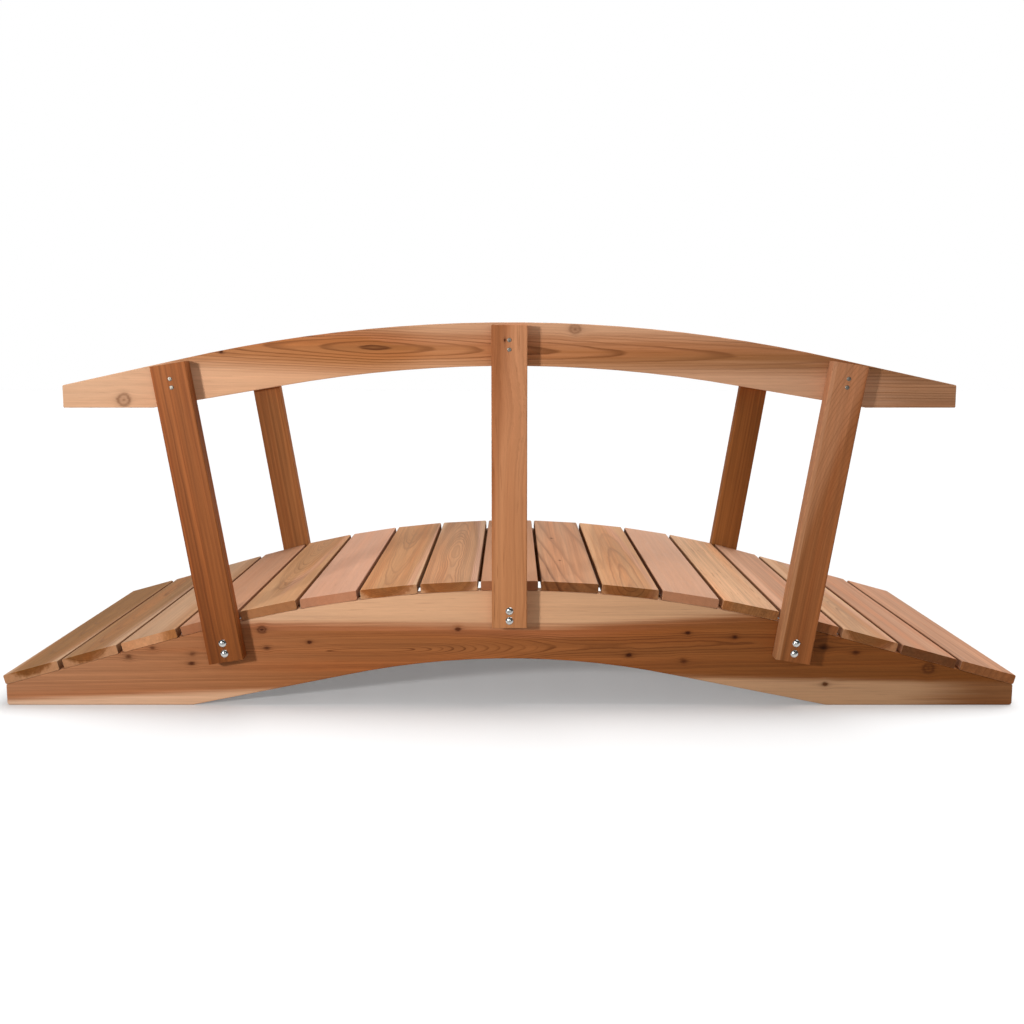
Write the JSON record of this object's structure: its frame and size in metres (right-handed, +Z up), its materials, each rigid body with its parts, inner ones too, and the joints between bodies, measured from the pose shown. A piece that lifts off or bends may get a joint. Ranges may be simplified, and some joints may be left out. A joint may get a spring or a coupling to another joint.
{
  "type": "garden bridge",
  "caption": "Arched cedar garden footbridge: a plank deck on bowed side beams, with bowed handrails carried on posts bolted to the beams' outer faces.",
  "frame": {"origin": "on the ground under the middle of the deck", "axes": "+X along the bridge to the right seen from the front, -Y to the front, +Z up"},
  "size_m": [1.838, 0.838, 0.6889],
  "materials": {
    "cedar_stringers": "planed red cedar with a clear oil, satin",
    "cedar_planks": "planed red cedar with a clear oil, satin",
    "cedar_posts": "planed red cedar with a clear oil, satin",
    "cedar_rails": "planed red cedar with a clear oil, satin",
    "zinc_fasteners": "zinc-plated, slightly dull"
  },
  "bodies": {
    "root": {"front_stringer": "cedar_stringers", "back_stringer": "cedar_stringers", "plank_01": "cedar_planks", "plank_02": "cedar_planks", "plank_03": "cedar_planks", "plank_04": "cedar_planks", "plank_05": "cedar_planks", "plank_06": "cedar_planks", "plank_07": "cedar_planks", "plank_08": "cedar_planks", "plank_09": "cedar_planks", "plank_10": "cedar_planks", "plank_11": "cedar_planks", "plank_12": "cedar_planks", "plank_13": "cedar_planks", "plank_14": "cedar_planks", "plank_15": "cedar_planks", "plank_16": "cedar_planks", "plank_17": "cedar_planks", "front_left_post": "cedar_posts", "front_middle_post": "cedar_posts", "front_right_post": "cedar_posts", "back_left_post": "cedar_posts", "back_middle_post": "cedar_posts", "back_right_post": "cedar_posts", "front_rail": "cedar_rails", "back_rail": "cedar_rails"}
  },
  "joints": []
}
